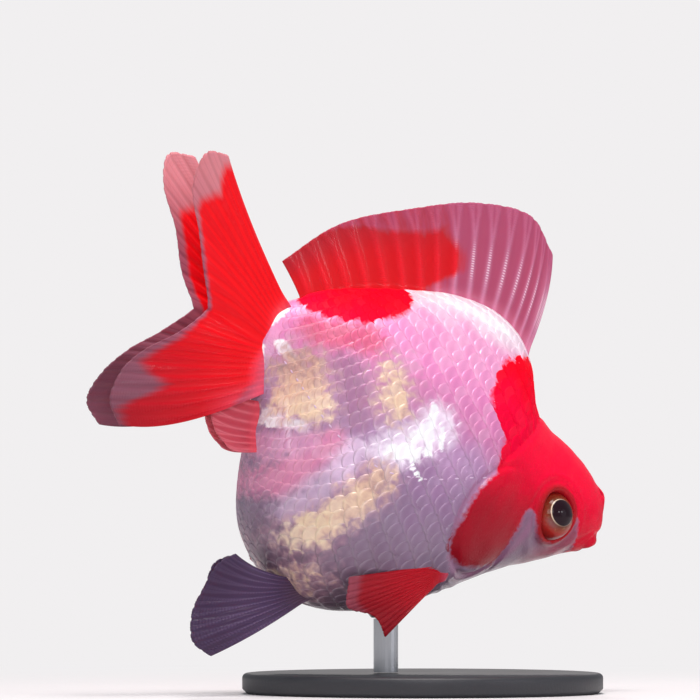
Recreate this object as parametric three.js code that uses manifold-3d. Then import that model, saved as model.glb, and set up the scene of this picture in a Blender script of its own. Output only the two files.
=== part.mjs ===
// A short-tailed ryukin goldfish as a life-size display model on a plain stand.
//
// Millimetres, +Z up. The origin is the centre of the stand's underside. The fish heads along +X, nose
// down by `pose.noseDown`, and its right flank faces -Y. Everything on the fish is made in the fish's own
// level frame (x forward, y left, z up, middle of the body at 0) and one group then pitches it.
import * as THREE from "three";
import { mergeVertices } from "three/addons/utils/BufferGeometryUtils.js";
import Module from "manifold-3d";

const wasm = await Module();
wasm.setup();

// ---------------------------------------------------------------- driving dimensions

const pose = { noseDown: 25.5, height: 61 }; // degrees; height of the fish's own origin over the floor
const gap = 0.3; // left between pieces that touch

// Stations from the snout to the root of the tail. Each gives the outline's top and bottom and the widest
// line of the flank as [x, z], the half width there, and how much fuller the lower half is than the upper.
const stations = [
  { top: [51.5, -0.8], flank: [51.5, -0.8], bottom: [51.5, -0.8], half: 0, belly: 0 },
  { top: [51.3, 3.9], flank: [50.5, -0.9], bottom: [50.1, -4.9], half: 5.4, belly: 0 },
  { top: [48.6, 9.0], flank: [46.6, -1.1], bottom: [45.8, -8.2], half: 9.0, belly: 0 },
  { top: [42.6, 13.3], flank: [40.4, -1.7], bottom: [39.6, -12.9], half: 12.2, belly: 0 },
  { top: [35.0, 16.2], flank: [33.6, -2.8], bottom: [32.6, -18.0], half: 15.0, belly: 0 },
  { top: [27.2, 18.2], flank: [26.6, -4.5], bottom: [25.4, -24.0], half: 17.8, belly: 0.04 },
  { top: [21.4, 22.6], flank: [19.0, -6.5], bottom: [17.4, -32.0], half: 21.2, belly: 0.1 },
  { top: [17.0, 30.2], flank: [11.2, -8.6], bottom: [8.8, -40.0], half: 24.4, belly: 0.15 },
  { top: [10.8, 35.6], flank: [2.6, -10.4], bottom: [-1.4, -46.2], half: 26.6, belly: 0.17 },
  { top: [2.0, 37.5], flank: [-7.2, -11.4], bottom: [-11.8, -49.2], half: 27.4, belly: 0.17 },
  { top: [-8.4, 36.1], flank: [-16.8, -11.2], bottom: [-22.2, -47.4], half: 26.6, belly: 0.15 },
  { top: [-19.2, 32.2], flank: [-25.6, -9.4], bottom: [-31.2, -41.4], half: 23.8, belly: 0.12 },
  { top: [-29.6, 27.6], flank: [-33.0, -6.2], bottom: [-37.2, -33.2], half: 19.0, belly: 0.08 },
  { top: [-38.2, 23.2], flank: [-39.4, -2.2], bottom: [-40.6, -23.8], half: 13.4, belly: 0.04 },
  { top: [-44.4, 18.8], flank: [-44.0, 1.0], bottom: [-43.8, -14.8], half: 8.4, belly: 0 },
  { top: [-48.4, 15.8], flank: [-48.0, 3.0], bottom: [-47.2, -9.2], half: 5.4, belly: 0 },
  { top: [-51.6, 14.2], flank: [-51.4, 3.4], bottom: [-50.6, -7.0], half: 3.4, belly: 0 },
  { top: [-53.0, 3.4], flank: [-53.0, 3.4], bottom: [-53.0, 3.4], half: 0, belly: 0 },
];
const bodyMesh = { rings: 38, sides: 26 };

const eye = { at: [33.3, 12.2, -3.8], radius: 6 }; // of the left eye
const eyePlaces = { left: 1, right: -1 };

// The gill cover is an oval plate: its middle [x, z], half sizes, lean in degrees and thickness.
const gill = { middle: [16.6, -13], half: [10.2, 14.4], lean: 6, thick: 2.4 };

// The ring of the lips, by its half width, half height and thickness, turned down by `down` degrees, and
// the half sizes of the hollow inside it.
const mouth = { at: [50.6, 0, -3.7], wide: 3.4, tall: 2.2, lip: 1.4, down: 16, hollow: [2.4, 2.7, 1.65] };

// Where the body is parted. Each cut is a line in side view: a point [x, z] and its slope in degrees, 0
// level and 90 upright, with less than 90 leaning back.
const cuts = {
  nape: { at: [9.6, 0], slope: 75.5 },
  middle: { at: [-12, 0], slope: 84 },
  stem: { at: [-37.5, 0], slope: 88 },
  flank: { at: [0, -5.5], slope: 0 },
  lips: { at: [mouth.at[0], mouth.at[2]], slope: mouth.down },
  muzzle: { at: [46.8, -3.2], slope: 74 },
};
const blockSize = 200; // longer than the whole fish, for the blocks that cut it

const stand = {
  base: { radius: 44, thick: 5, edge: 1.2 },
  rod: { x: -10, radius: 3 },
  pad: { radius: 7, foot: 3.6, thick: 2.2 },
};

// ---------------------------------------------------------------- curves

// Uniform Catmull-Rom through the values of one field, at a place counted in stations.
function between(values, place) {
  const last = values.length - 1;
  const i = Math.min(Math.floor(place), last - 1);
  const t = place - i;
  const p = [Math.max(i - 1, 0), i, i + 1, Math.min(i + 2, last)].map((k) => values[k]);
  return (
    0.5 *
    (2 * p[1] +
      (p[2] - p[0]) * t +
      (2 * p[0] - 5 * p[1] + 4 * p[2] - p[3]) * t * t +
      (3 * p[1] - p[0] - 3 * p[2] + p[3]) * t * t * t)
  );
}

// Fields of the body at a share u of the way from snout to tail root.
function stationAt(u) {
  const place = u * (stations.length - 1);
  const of = (pick) => between(stations.map(pick), place);
  return {
    top: [of((s) => s.top[0]), of((s) => s.top[1])],
    flank: [of((s) => s.flank[0]), of((s) => s.flank[1])],
    bottom: [of((s) => s.bottom[0]), of((s) => s.bottom[1])],
    half: Math.max(of((s) => s.half), 0),
    belly: of((s) => s.belly),
  };
}

// A point of the body's surface: `round` runs from 0 on the back over the right flank to PI on the belly.
function bodyPoint(u, round) {
  const s = stationAt(u);
  const c = Math.cos(round);
  const w = Math.sin(round) ** 2;
  const place = [0, 1].map((k) => {
    const middle = (s.top[k] + s.bottom[k]) / 2;
    return middle + ((s.top[k] - s.bottom[k]) / 2) * c + (s.flank[k] - middle) * w;
  });
  const across = s.half * Math.sin(round) * (1 - s.belly * c);
  return new THREE.Vector3(place[0], -across, place[1]);
}

// ---------------------------------------------------------------- solids

const bare = (geometry) => {
  geometry.deleteAttribute("normal");
  geometry.deleteAttribute("uv");
  return mergeVertices(geometry, 1e-4);
};

function solidOf(geometry) {
  const merged = bare(geometry);
  const mesh = { numProp: 3, vertProperties: merged.attributes.position.array };
  return new wasm.Manifold(new wasm.Mesh({ ...mesh, triVerts: new Uint32Array(merged.index.array) }));
}

function geometryOf(solid) {
  const mesh = solid.getMesh();
  const geometry = new THREE.BufferGeometry();
  geometry.setAttribute("position", new THREE.BufferAttribute(mesh.vertProperties, 3));
  geometry.setIndex(new THREE.BufferAttribute(mesh.triVerts, 1));
  geometry.computeVertexNormals();
  return geometry;
}

// The whole body: a sphere whose poles are the snout and the tail root, bent onto the stations. `grow`
// moves its surface out, or in where it is negative.
function bodySolid(grow = 0) {
  const geometry = new THREE.SphereGeometry(1, bodyMesh.sides, bodyMesh.rings);
  const { position, uv } = geometry.attributes;
  for (let i = 0; i < position.count; i += 1) {
    const p = bodyPoint(1 - uv.getY(i), 2 * Math.PI * uv.getX(i));
    position.setXYZ(i, p.x, p.y, p.z);
  }
  const merged = bare(geometry);
  merged.computeVertexNormals();
  const { normal } = merged.attributes;
  const grown = merged.attributes.position;
  for (let i = 0; i < grown.count; i += 1) {
    grown.setXYZ(
      i,
      grown.getX(i) + normal.getX(i) * grow,
      grown.getY(i) + normal.getY(i) * grow,
      grown.getZ(i) + normal.getZ(i) * grow,
    );
  }
  return solidOf(merged);
}

// A large block that holds everything on one side of a cut, moved off the cut by half the gap: side 1 is
// ahead of an upright cut and above a level one.
function sideOf(cut, side) {
  const block = new THREE.BoxGeometry(blockSize, blockSize, blockSize);
  block.translate((side * (blockSize + gap)) / 2, 0, 0);
  block.rotateY(THREE.MathUtils.degToRad(cut.slope - 90));
  block.translate(cut.at[0], 0, cut.at[1]);
  return solidOf(block);
}

function flankBlock(side) {
  const block = new THREE.BoxGeometry(blockSize, blockSize, blockSize);
  return solidOf(block.translate(0, side * (blockSize / 2 + gap), 0));
}

// The gill cover's oval, run right through the head from flank to flank.
function gillOval(grow) {
  const oval = new THREE.CylinderGeometry(1, 1, blockSize, 24);
  oval.scale(gill.half[0] + grow, 1, gill.half[1] + grow);
  oval.rotateY(THREE.MathUtils.degToRad(gill.lean));
  oval.translate(gill.middle[0], 0, gill.middle[1]);
  return solidOf(oval);
}

function eyeBall(side, radius) {
  const ball = new THREE.SphereGeometry(radius, 14, 9);
  ball.translate(eye.at[0], side * eye.at[1], eye.at[2]);
  return solidOf(ball);
}

// The lips: a ring round the mouth, leaning with the front of the snout.
function lips() {
  const tube = 0.36; // of a ring of radius 1, before the ring is stretched
  const ring = new THREE.TorusGeometry(1, tube, 6, 14);
  ring.scale(mouth.tall, mouth.wide, mouth.lip / tube);
  ring.rotateY(THREE.MathUtils.degToRad(90 + mouth.down));
  ring.translate(...mouth.at);
  return solidOf(ring);
}

function mouthHollow() {
  const hollow = new THREE.SphereGeometry(1, 10, 6);
  hollow.scale(...mouth.hollow);
  hollow.rotateY(THREE.MathUtils.degToRad(mouth.down));
  hollow.translate(...mouth.at);
  return solidOf(hollow);
}

// ---------------------------------------------------------------- fins

const vector = (p) => new THREE.Vector3(...p);
const curve = (points) => new THREE.CatmullRomCurve3(points.map(vector));

// Every fin is a fan of rays from its root to its margin. `root`, `bend` and `margin` are curves from the
// leading ray to the trailing one, [x, y, z] with y out from the middle; each ray bends towards its point
// of `bend`. `leftSweep` turns the left fin of a pair up and back, in degrees, `leftSpread` moves its
// margin further out, and `leftReach` is its length against the right one's, where it is half folded.
const fins = {
  dorsal_fin: {
    root: [[16.4, 0, 30.4], [8, 0, 34.4], [-3, 0, 35], [-16, 0, 31.4], [-30, 0, 25.4], [-44.4, 0, 17]],
    bend: [[16.8, 0, 47], [8, 0, 51], [-7, 0, 49], [-22, 0, 43], [-37, 0, 34.4], [-49, 0, 21]],
    margin: [[12.2, 0, 57], [3.6, 0, 63], [-12, 0, 59.4], [-28, 0, 50], [-43, 0, 38.6], [-53.4, 0, 23.6]],
    across: 13,
    along: 4,
    wave: 0.8,
  },
  upper_tail_fin: {
    root: [[-47, 1.2, 13.6], [-48.4, 2, 9], [-48.6, 2.6, 3.6]],
    bend: [[-67.2, 5, 26], [-69, 7, 17.6], [-60, 4, 5.4]],
    margin: [
      [-81.6, 9.4, 38.5],
      [-87.6, 10, 36.4],
      [-86.6, 8.8, 28.4],
      [-79.6, 7, 19.4],
      [-74, 5.4, 11],
      [-68.2, 4, 4.4],
    ],
    across: 9,
    along: 6,
    wave: 0.9,
  },
  lower_tail_fin: {
    root: [[-48.6, 2.6, 3], [-48, 2.8, -2], [-45.4, 2.6, -8]],
    bend: [[-60, 4, 2.6], [-68, 6, -11], [-64.2, 5.6, -28.6]],
    margin: [
      [-68.2, 4, 3.2],
      [-73.4, 4.6, -5],
      [-79.6, 5.2, -12.8],
      [-83.2, 5.6, -20.4],
      [-83.4, 5.8, -28],
      [-78.4, 5.6, -32],
    ],
    across: 9,
    along: 6,
    wave: 0.9,
  },
  anal_fin: {
    root: [[-40.6, 1.5, -21.6], [-42.6, 1.5, -17], [-44.2, 1.5, -11.6]],
    bend: [[-44.6, 1.6, -24], [-48.8, 1.7, -19.4], [-49.6, 1.5, -13.4]],
    margin: [[-47.4, 1.9, -23.8], [-52.4, 1.9, -21.8], [-56, 1.9, -17.4], [-54.4, 1.7, -13]],
    across: 6,
    along: 3,
    wave: 0.1,
  },
  pelvic_fin: {
    root: [[-13.6, 5.2, -47.4], [-16, 5.6, -46.6], [-18.8, 6, -45]],
    bend: [[-22.4, 5.2, -61.6], [-28.6, 6, -56.2], [-29, 6.6, -49]],
    margin: [
      [-32, 5, -72],
      [-38.2, 5.4, -71],
      [-41, 5.8, -65],
      [-41, 6.2, -57.6],
      [-40.6, 6.6, -51],
      [-37.4, 7, -47],
    ],
    across: 8,
    along: 5,
    wave: 0.7,
    leftSweep: 2,
    leftSpread: -5,
    leftReach: 0.88,
  },
  pectoral_fin: {
    root: [[11.6, 19.2, -26.4], [10.6, 19.2, -28.6], [10.8, 17.8, -31]],
    bend: [[-1, 24.6, -33.8], [1, 23.8, -39], [6.4, 20.8, -39.4]],
    margin: [[-14, 21.6, -42.2], [-11.6, 22, -48.8], [-3.4, 21, -47.8], [1.8, 20.4, -51]],
    across: 6,
    along: 4,
    wave: 0.5,
    leftSweep: 20,
    leftSpread: 7,
  },
};
const finThickness = { root: 1.3, margin: 0.6 };

function finSolid(fin, side) {
  const [root, bend, margin] = [fin.root, fin.bend, fin.margin].map(curve);
  const pivot = root.getPoint(0);
  const sideways = new THREE.Vector3(0, 1, 0);
  const sweep = side > 0 ? THREE.MathUtils.degToRad(fin.leftSweep ?? 0) : 0;
  const spread = side > 0 ? fin.leftSpread ?? 0 : 0;
  const reach = side > 0 ? fin.leftReach ?? 1 : 1;
  const spot = (s, t) => {
    const ray = new THREE.QuadraticBezierCurve3(root.getPoint(s), bend.getPoint(s), margin.getPoint(s));
    const p = ray.getPoint(t).sub(pivot);
    p.set(p.x * reach, p.y, p.z * reach).applyAxisAngle(sideways, sweep).add(pivot);
    p.y += t * (fin.wave * Math.sin(s * 3 * Math.PI) + spread);
    return new THREE.Vector3(p.x, p.y * side, p.z);
  };
  const step = 0.01;
  const geometry = new THREE.BoxGeometry(1, 1, 1, fin.across, fin.along, 1);
  const { position } = geometry.attributes;
  for (let i = 0; i < position.count; i += 1) {
    const s = position.getX(i) + 0.5;
    const t = position.getY(i) + 0.5;
    const here = spot(s, t);
    const alongS = spot(Math.min(s + step, 1), t).sub(spot(Math.max(s - step, 0), t));
    const alongT = spot(s, Math.min(t + step, 1)).sub(spot(s, Math.max(t - step, 0)));
    const thick = THREE.MathUtils.lerp(finThickness.root, finThickness.margin, t);
    here.addScaledVector(alongS.cross(alongT).normalize(), position.getZ(i) * thick);
    position.setXYZ(i, here.x, here.y, here.z);
  }
  return solidOf(geometry);
}

// ---------------------------------------------------------------- the fish

const scaledRed = { color: "#e0182c", roughness: 0.4, metalness: 0 };
const pearl = { color: "#dcb8cf", roughness: 0.35, metalness: 0 };
const finRed = { color: "#e3142a", roughness: 0.5, metalness: 0 };
const finPale = { color: "#a98aae", roughness: 0.5, metalness: 0 };
const eyeDark = { color: "#2a1c24", roughness: 0.1, metalness: 0 };
const steel = { color: "#b9bcc0", roughness: 0.3, metalness: 1 };
const paint = { color: "#2c2d31", roughness: 0.6, metalness: 0 };

const model = new THREE.Group();
const fish = new THREE.Group();
model.add(fish);

function place(group, name, solid, finish) {
  const mesh = new THREE.Mesh(geometryOf(solid), new THREE.MeshStandardMaterial(finish));
  mesh.name = name;
  group.add(mesh);
}

const body = bodySolid();
const bodyClear = bodySolid(gap);
const core = bodySolid(-gill.thick);
const napeFront = sideOf(cuts.nape, 1);
const napeBack = sideOf(cuts.nape, -1);

// Head, with the gill covers, eyes and jaws taken out of it.
const gillRegion = gillOval(0).intersect(napeFront);
let head = body.intersect(napeFront).subtract(gillOval(gap).subtract(bodySolid(-gill.thick - gap)));
for (const [name, side] of Object.entries(eyePlaces)) {
  head = head.subtract(eyeBall(side, eye.radius + gap));
  place(fish, `eye_${name}`, eyeBall(side, eye.radius), eyeDark);
  const cover = gillRegion.intersect(flankBlock(side)).intersect(body).subtract(core);
  place(fish, `gill_cover_${name}`, cover.subtract(eyeBall(side, eye.radius + gap)), scaledRed);
}
const [aheadOfMuzzle, behindMuzzle] = [1, -1].map((side) => sideOf(cuts.muzzle, side));
const [aboveLips, belowLips] = [1, -1].map((side) => sideOf(cuts.lips, side));
const snout = head.intersect(aheadOfMuzzle).add(lips()).subtract(mouthHollow());
place(fish, "head", head.intersect(behindMuzzle), scaledRed);
place(fish, "upper_jaw", snout.intersect(aboveLips), scaledRed);
place(fish, "lower_jaw", snout.intersect(belowLips), pearl);

// Trunk: back and belly, each in a front and a rear length, and the stem of the tail.
const trunk = body.intersect(napeBack);
const [front, rear] = [1, -1].map((side) => sideOf(cuts.middle, side));
const [ahead, behind] = [1, -1].map((side) => sideOf(cuts.stem, side));
const [upper, lower] = [1, -1].map((side) => sideOf(cuts.flank, side));
place(fish, "shoulder", trunk.intersect(front).intersect(upper), pearl);
place(fish, "breast", trunk.intersect(front).intersect(lower), pearl);
place(fish, "back", trunk.intersect(rear).intersect(ahead).intersect(upper), pearl);
place(fish, "belly", trunk.intersect(rear).intersect(ahead).intersect(lower), pearl);
place(fish, "tail_stem", trunk.intersect(behind), pearl);

// Fins, each cut clear of the body.
const finFinish = { anal_fin: finPale, pelvic_fin: finPale };
for (const [name, fin] of Object.entries(fins)) {
  const sides = name === "dorsal_fin" ? { "": 1 } : { _left: 1, _right: -1 };
  for (const [ending, side] of Object.entries(sides)) {
    place(fish, name + ending, finSolid(fin, side).subtract(bodyClear), finFinish[name] ?? finRed);
  }
}

fish.rotation.y = THREE.MathUtils.degToRad(pose.noseDown);
fish.position.z = pose.height;

// ---------------------------------------------------------------- the stand

function baseSolid() {
  const { radius, thick, edge } = stand.base;
  const profile = new THREE.Path().moveTo(0, 0).lineTo(radius - edge, 0).lineTo(radius, edge);
  profile.lineTo(radius, thick - edge).absarc(radius - edge, thick - edge, edge, 0, Math.PI / 2, false);
  profile.lineTo(0, thick);
  const turned = new THREE.LatheGeometry(profile.getPoints(2), 40);
  return solidOf(turned.rotateX(Math.PI / 2));
}

// The clear body in the stand's own upright frame, to trim the pad and rod against.
const radians = THREE.MathUtils.degToRad(pose.noseDown);
const posedBody = bodyClear.rotate([0, pose.noseDown, 0]).translate([0, 0, pose.height]);
const underside = (x) => {
  const samples = 400;
  let lowest = Infinity;
  for (let k = 0; k <= samples; k += 1) {
    const s = stationAt(k / samples).bottom;
    const worldX = s[0] * Math.cos(radians) + s[1] * Math.sin(radians);
    if (Math.abs(worldX - x) < 1) {
      lowest = Math.min(lowest, pose.height - s[0] * Math.sin(radians) + s[1] * Math.cos(radians));
    }
  }
  return lowest;
};
const bellyHeight = underside(stand.rod.x);
const padBottom = bellyHeight - stand.pad.thick;
const pad = new THREE.CylinderGeometry(stand.pad.radius, stand.pad.foot, 2 * stand.pad.thick, 24);
pad.rotateX(Math.PI / 2).translate(stand.rod.x, 0, padBottom + stand.pad.thick);
const rodHeight = padBottom - gap - stand.base.thick - gap;
const rod = new THREE.CylinderGeometry(stand.rod.radius, stand.rod.radius, rodHeight, 24);
rod.rotateX(Math.PI / 2).translate(stand.rod.x, 0, stand.base.thick + gap + rodHeight / 2);
place(model, "stand_base", baseSolid(), paint);
place(model, "stand_rod", solidOf(rod), steel);
place(model, "stand_pad", solidOf(pad).subtract(posedBody), steel);

export default model;
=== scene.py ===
import math

import bmesh
import bpy
import numpy as np
from mathutils import Matrix, Vector


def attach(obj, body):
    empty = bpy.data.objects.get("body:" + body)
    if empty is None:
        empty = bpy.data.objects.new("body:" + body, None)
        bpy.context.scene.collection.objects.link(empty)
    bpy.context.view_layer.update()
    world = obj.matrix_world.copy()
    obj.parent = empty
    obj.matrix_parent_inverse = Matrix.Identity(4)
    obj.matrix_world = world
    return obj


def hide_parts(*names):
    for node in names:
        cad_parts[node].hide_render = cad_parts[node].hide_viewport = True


# A short-tailed ryukin goldfish, life size, on a plain stand. The fish is worked out in its own level frame
# in millimetres, x towards the snout, y to its left and z up, and then pitched and turned to metres.

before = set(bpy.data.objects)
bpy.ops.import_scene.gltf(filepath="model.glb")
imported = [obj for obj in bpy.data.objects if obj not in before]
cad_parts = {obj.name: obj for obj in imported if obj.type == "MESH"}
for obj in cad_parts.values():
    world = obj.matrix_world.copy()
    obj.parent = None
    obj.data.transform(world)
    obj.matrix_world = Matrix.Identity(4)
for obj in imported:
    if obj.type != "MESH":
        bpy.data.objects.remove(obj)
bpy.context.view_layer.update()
pose = {"noseDown": 25.5, "height": 61}  # degrees, and mm of the fish's own origin over the floor
mm = 0.001


def turned(x, z, degrees):  # nose down, in side view
    turn = math.radians(degrees)
    return x * math.cos(turn) + z * math.sin(turn), z * math.cos(turn) - x * math.sin(turn)


def toWorld(points):
    forward, up = turned(points[..., 0], points[..., 2], pose["noseDown"])
    return np.stack((forward, points[..., 1], pose["height"] + up), axis=-1) * mm


# Soft steps and marks that the shapes and the markings share.


def rise(value, start, end):  # 0 before start, 1 after end, smooth between
    t = np.clip((value - start) / (end - start), 0, 1)
    return t * t * (3 - 2 * t)


def ridge(distance, width):  # 1 at distance 0, falling off to nothing
    return np.exp(-((distance / width) ** 2))


def insideOval(x, z, oval):  # mm inside an oval in side view, negative outside
    (middleX, middleZ), (long, high) = oval["middle"], oval["half"]
    a, b = turned(x - middleX, z - middleZ, -oval.get("lean", 0))
    a, b = a / long, b / high
    q = np.hypot(a, b) + 1e-6
    steep = np.hypot(a / long, b / high) / q
    return (1 - q) / np.maximum(steep, 1e-3)


def fromSpot(x, z, spot):
    return np.hypot(x - spot[0], z - spot[1])


def lineShare(x, z, start, end):  # 0 beside the start of a line, 1 beside its end
    dx, dz = end[0] - start[0], end[1] - start[1]
    return ((x - start[0]) * dx + (z - start[1]) * dz) / (dx * dx + dz * dz)


def fromLine(x, z, start, end):  # mm from a stretch of line in side view
    share = np.clip(lineShare(x, z, start, end), 0, 1)
    dx, dz = end[0] - start[0], end[1] - start[1]
    return fromSpot(x - share * dx, z - share * dz, start)


# The body: stations from the snout to the root of the tail.

body = {
    # top x z, widest line of the flank x z, bottom x z, half width, fullness of the lower half
    "stations": np.array([
        (51.5, -0.8, 51.5, -0.8, 51.5, -0.8, 0, 0),
        (51.3, 3.9, 50.5, -0.9, 50.1, -4.9, 5.4, 0),
        (48.6, 9.0, 46.6, -1.1, 45.8, -8.2, 9.0, 0),
        (42.6, 13.3, 40.4, -1.7, 39.6, -12.9, 12.2, 0),
        (35.0, 16.2, 33.6, -2.8, 32.6, -18.0, 15.0, 0),
        (27.2, 18.2, 26.6, -4.5, 25.4, -24.0, 17.8, 0.04),
        (21.4, 22.6, 19.0, -6.5, 17.4, -32.0, 21.2, 0.1),
        (17.0, 30.2, 11.2, -8.6, 8.8, -40.0, 24.4, 0.15),
        (10.8, 35.6, 2.6, -10.4, -1.4, -46.2, 26.6, 0.17),
        (2.0, 37.5, -7.2, -11.4, -11.8, -49.2, 27.4, 0.17),
        (-8.4, 36.1, -16.8, -11.2, -22.2, -47.4, 26.6, 0.15),
        (-19.2, 32.2, -25.6, -9.4, -31.2, -41.4, 23.8, 0.12),
        (-29.6, 27.6, -33.0, -6.2, -37.2, -33.2, 19.0, 0.08),
        (-38.2, 23.2, -39.4, -2.2, -40.6, -23.8, 13.4, 0.04),
        (-44.4, 18.8, -44.0, 1.0, -43.8, -14.8, 8.4, 0),
        (-48.4, 15.8, -48.0, 3.0, -47.2, -9.2, 5.4, 0),
        (-51.6, 14.2, -51.4, 3.4, -50.6, -7.0, 3.4, 0),
        (-53.0, 3.4, -53.0, 3.4, -53.0, 3.4, 0, 0),
    ]),
    "rings": 290,
    "sides": 320,
    "ringShares": ((0, 0.13, 0.56, 1), (0, 0.075, 0.46, 1)),  # more of the rings lie on the head
    "coatDepth": 0.45,
}
# the left eye; the other is its mirror image
eye = {"at": (33.3, 12.2, -3.8), "radius": 6.0, "faces": (0.13, 0.96, 0.25), "opening": 5.5}
gill = {"middle": (15.8, -13), "half": (9.4, 14.2), "lean": 15}
mouth = {"at": (51.2, -3.3), "slope": 0.9, "corner": 47.9}  # the slit falls back from the front
nostril = {"at": (48.0, 3.7), "front": (48.9, 3.4), "rear": (47.2, 4.1)}  # x and y of the left one


def between(rows, place):  # uniform Catmull-Rom through the rows
    last = len(rows) - 1
    i = np.clip(np.floor(place).astype(int), 0, last - 1)
    t = (place - i)[..., None]
    a, b, c, d = (rows[np.clip(i + k, 0, last)] for k in (-1, 0, 1, 2))
    bend = (2 * a - 5 * b + 4 * c - d) * t**2 + (3 * b - a - 3 * c + d) * t**3
    return 0.5 * (2 * b + (c - a) * t + bend)


# A point at share u from snout to tail; around is 0 on the back, a quarter turn on the right flank.
def loft(u, around):
    s = between(body["stations"], np.clip(u, 0, 1) * (len(body["stations"]) - 1))
    top, flank, bottom = s[..., 0:2], s[..., 2:4], s[..., 4:6]
    c, w = np.cos(around)[..., None], (np.sin(around) ** 2)[..., None]
    middle = (top + bottom) / 2
    side = middle + (top - bottom) / 2 * c + (flank - middle) * w
    y = -np.maximum(s[..., 6], 0) * np.sin(around) * (1 - s[..., 7] * np.cos(around))
    return np.stack((side[..., 0], y, side[..., 1]), axis=-1)


def loftSlopes(u, around, step=1e-3):
    u = np.clip(u, 0.004, 0.996)
    alongU = (loft(u + step, around) - loft(u - step, around)) / (2 * step)
    alongRound = (loft(u, around + step) - loft(u, around - step)) / (2 * step)
    return alongU, alongRound


def unit(vectors):
    return vectors / np.maximum(np.linalg.norm(vectors, axis=-1, keepdims=True), 1e-9)


def loftNormal(u, around):
    return unit(np.cross(*loftSlopes(u, around)))


def eyeDistance(points):  # mm from the line through the middle of the nearer eye
    at, faces = np.array(eye["at"]), unit(np.array(eye["faces"]))
    level = points * np.where(points[..., 1:2] < 0, (1, -1, 1), 1)
    away = level - at
    return np.linalg.norm(away - (away @ faces)[..., None] * faces, axis=-1)


# Where the coat of scales lies, mm inside its edge: behind the gill cover, the nape and the breast.
scaledEdge = ((-48, -38, -27, -13, 1, 20, 30), (11, 13.5, 12, 16, 13, 26, 44))  # x of the edge at each z


def scaledDepth(x, z):
    return np.minimum(np.interp(z, *scaledEdge) - x, -insideOval(x, z, gill))


# where the flesh swells at the roots of the pectoral, pelvic and anal fins, how high and how wide
finSwellings = (((11, 19, -28.6), 0.9, 3.4), ((-16, 5.6, -46.4), 0.8, 3.4), ((-43, 1.5, -17), 0.7, 3))


# How far the skin stands out from the plain body, in mm: what the head and the fin roots add to it.
def skinHeight(points):
    x, y, z = points[..., 0], np.abs(points[..., 1]), points[..., 2]
    height = -body["coatDepth"] * rise(scaledDepth(x, z), -0.2, 1.6) - 0.06

    # gill cover: a plate with a free hind edge, and the folds of its membrane below it
    inside = insideOval(x, z, gill)
    hind = 1 - rise(x - gill["middle"][0] + 0.25 * (z - gill["middle"][1]), -1, 8)
    height += 0.8 * rise(inside, -0.3, 0.5) * hind - 0.5 * ridge(inside + 0.9, 0.6) * hind
    height += 0.22 * ridge(inside - 3.2, 2.2) * hind
    below = rise(-z, 19, 25) * rise(x, 8, 13) * (1 - rise(x, 27, 33))
    for away in (1.9, 3.7, 5.4):
        height += 0.32 * ridge(inside + away, 0.55) * below

    # cheek: the edge of the plate in front of the gill cover, and the fold under the eye
    plateEdge = 24.4 + 0.012 * (z + 12) ** 2
    cheek = rise(z, -24, -19) * (1 - rise(z, -5, 0))
    ahead = rise(x - plateEdge, -0.5, 0.6) * (1 - rise(x - plateEdge, 2, 9))
    height += cheek * (0.3 * ahead - 0.22 * ridge(x - plateEdge + 0.5, 0.6))
    height -= 0.2 * ridge(fromLine(x, z, (44.5, -8.6), (30, -11.5)), 0.8) * rise(y, 2, 5)
    height -= 0.25 * ridge(fromLine(x, z, (12.5, 2), (25, 20)), 1.1)

    # eye: the socket sinks behind the eyeball, with a soft lid round it
    away = eyeDistance(points)
    height -= 4.5 * (1 - rise(away, eye["opening"] - 0.8, eye["opening"]))
    height += 0.7 * ridge(away - 6.25, 0.75) - 0.22 * ridge(away - 8.0, 0.9)
    height += 0.2 * ridge(away - 9.6, 1.0)

    # nostril: a mound with two openings and the flap between them
    onTop = rise(z, 4, 6)
    for spot, high, wide in (("at", 0.95, 1.5), ("front", -1.2, 0.5), ("rear", -1.0, 0.55)):
        height += high * ridge(fromSpot(x, y, nostril[spot]), wide) * onTop

    # mouth: the slit, its two lips, and the jaw plate at each corner
    over = (z - mouth["at"][1] + mouth["slope"] * (mouth["at"][0] - x)) / math.hypot(1, mouth["slope"])
    lips = rise(x, mouth["corner"] - 0.6, mouth["corner"] + 1.0)
    height += lips * (0.7 * ridge(over - 1.05, 0.75) + 0.6 * ridge(over + 0.95, 0.65))
    height -= lips * (1.3 * ridge(over, 0.32) + 0.3 * ridge(over - 2.5, 0.6) + 0.3 * ridge(over + 2.2, 0.6))
    jawPlate = fromLine(x, z, (49.2, -3.0), (46.2, -6.6))
    height += 0.4 * ridge(jawPlate, 1.2) * rise(y, 3, 4.6)
    height -= 0.22 * ridge(jawPlate - 2.2, 0.6) * rise(y, 3, 5)

    # fleshy roots of the fins
    height += 0.55 * ridge(y, 1.7) * rise(z, 10, 16) * rise(-x, -17.5, -14) * rise(x, -46, -43)
    for (x0, y0, z0), high, wide in finSwellings:
        height += high * ridge(np.sqrt((x - x0) ** 2 + (y - y0) ** 2 + (z - z0) ** 2), wide)

    # the flesh isn't quite even
    height += 0.09 * np.sin(0.31 * x + 0.22 * z) * np.sin(0.27 * z - 0.12 * x + 1.3) * rise(-x, -8, 6)
    height += 0.05 * np.sin(0.9 * x + 0.4 * z) * np.sin(0.8 * z - 0.5 * x) * rise(x, 10, 20)
    return height


def skinPoint(u, around, lift=0):
    points = loft(u, around)
    return points + loftNormal(u, around) * (skinHeight(points) + lift)[..., None]


# Markings, measured in mm inside each mark's edge and negative outside it.

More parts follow.
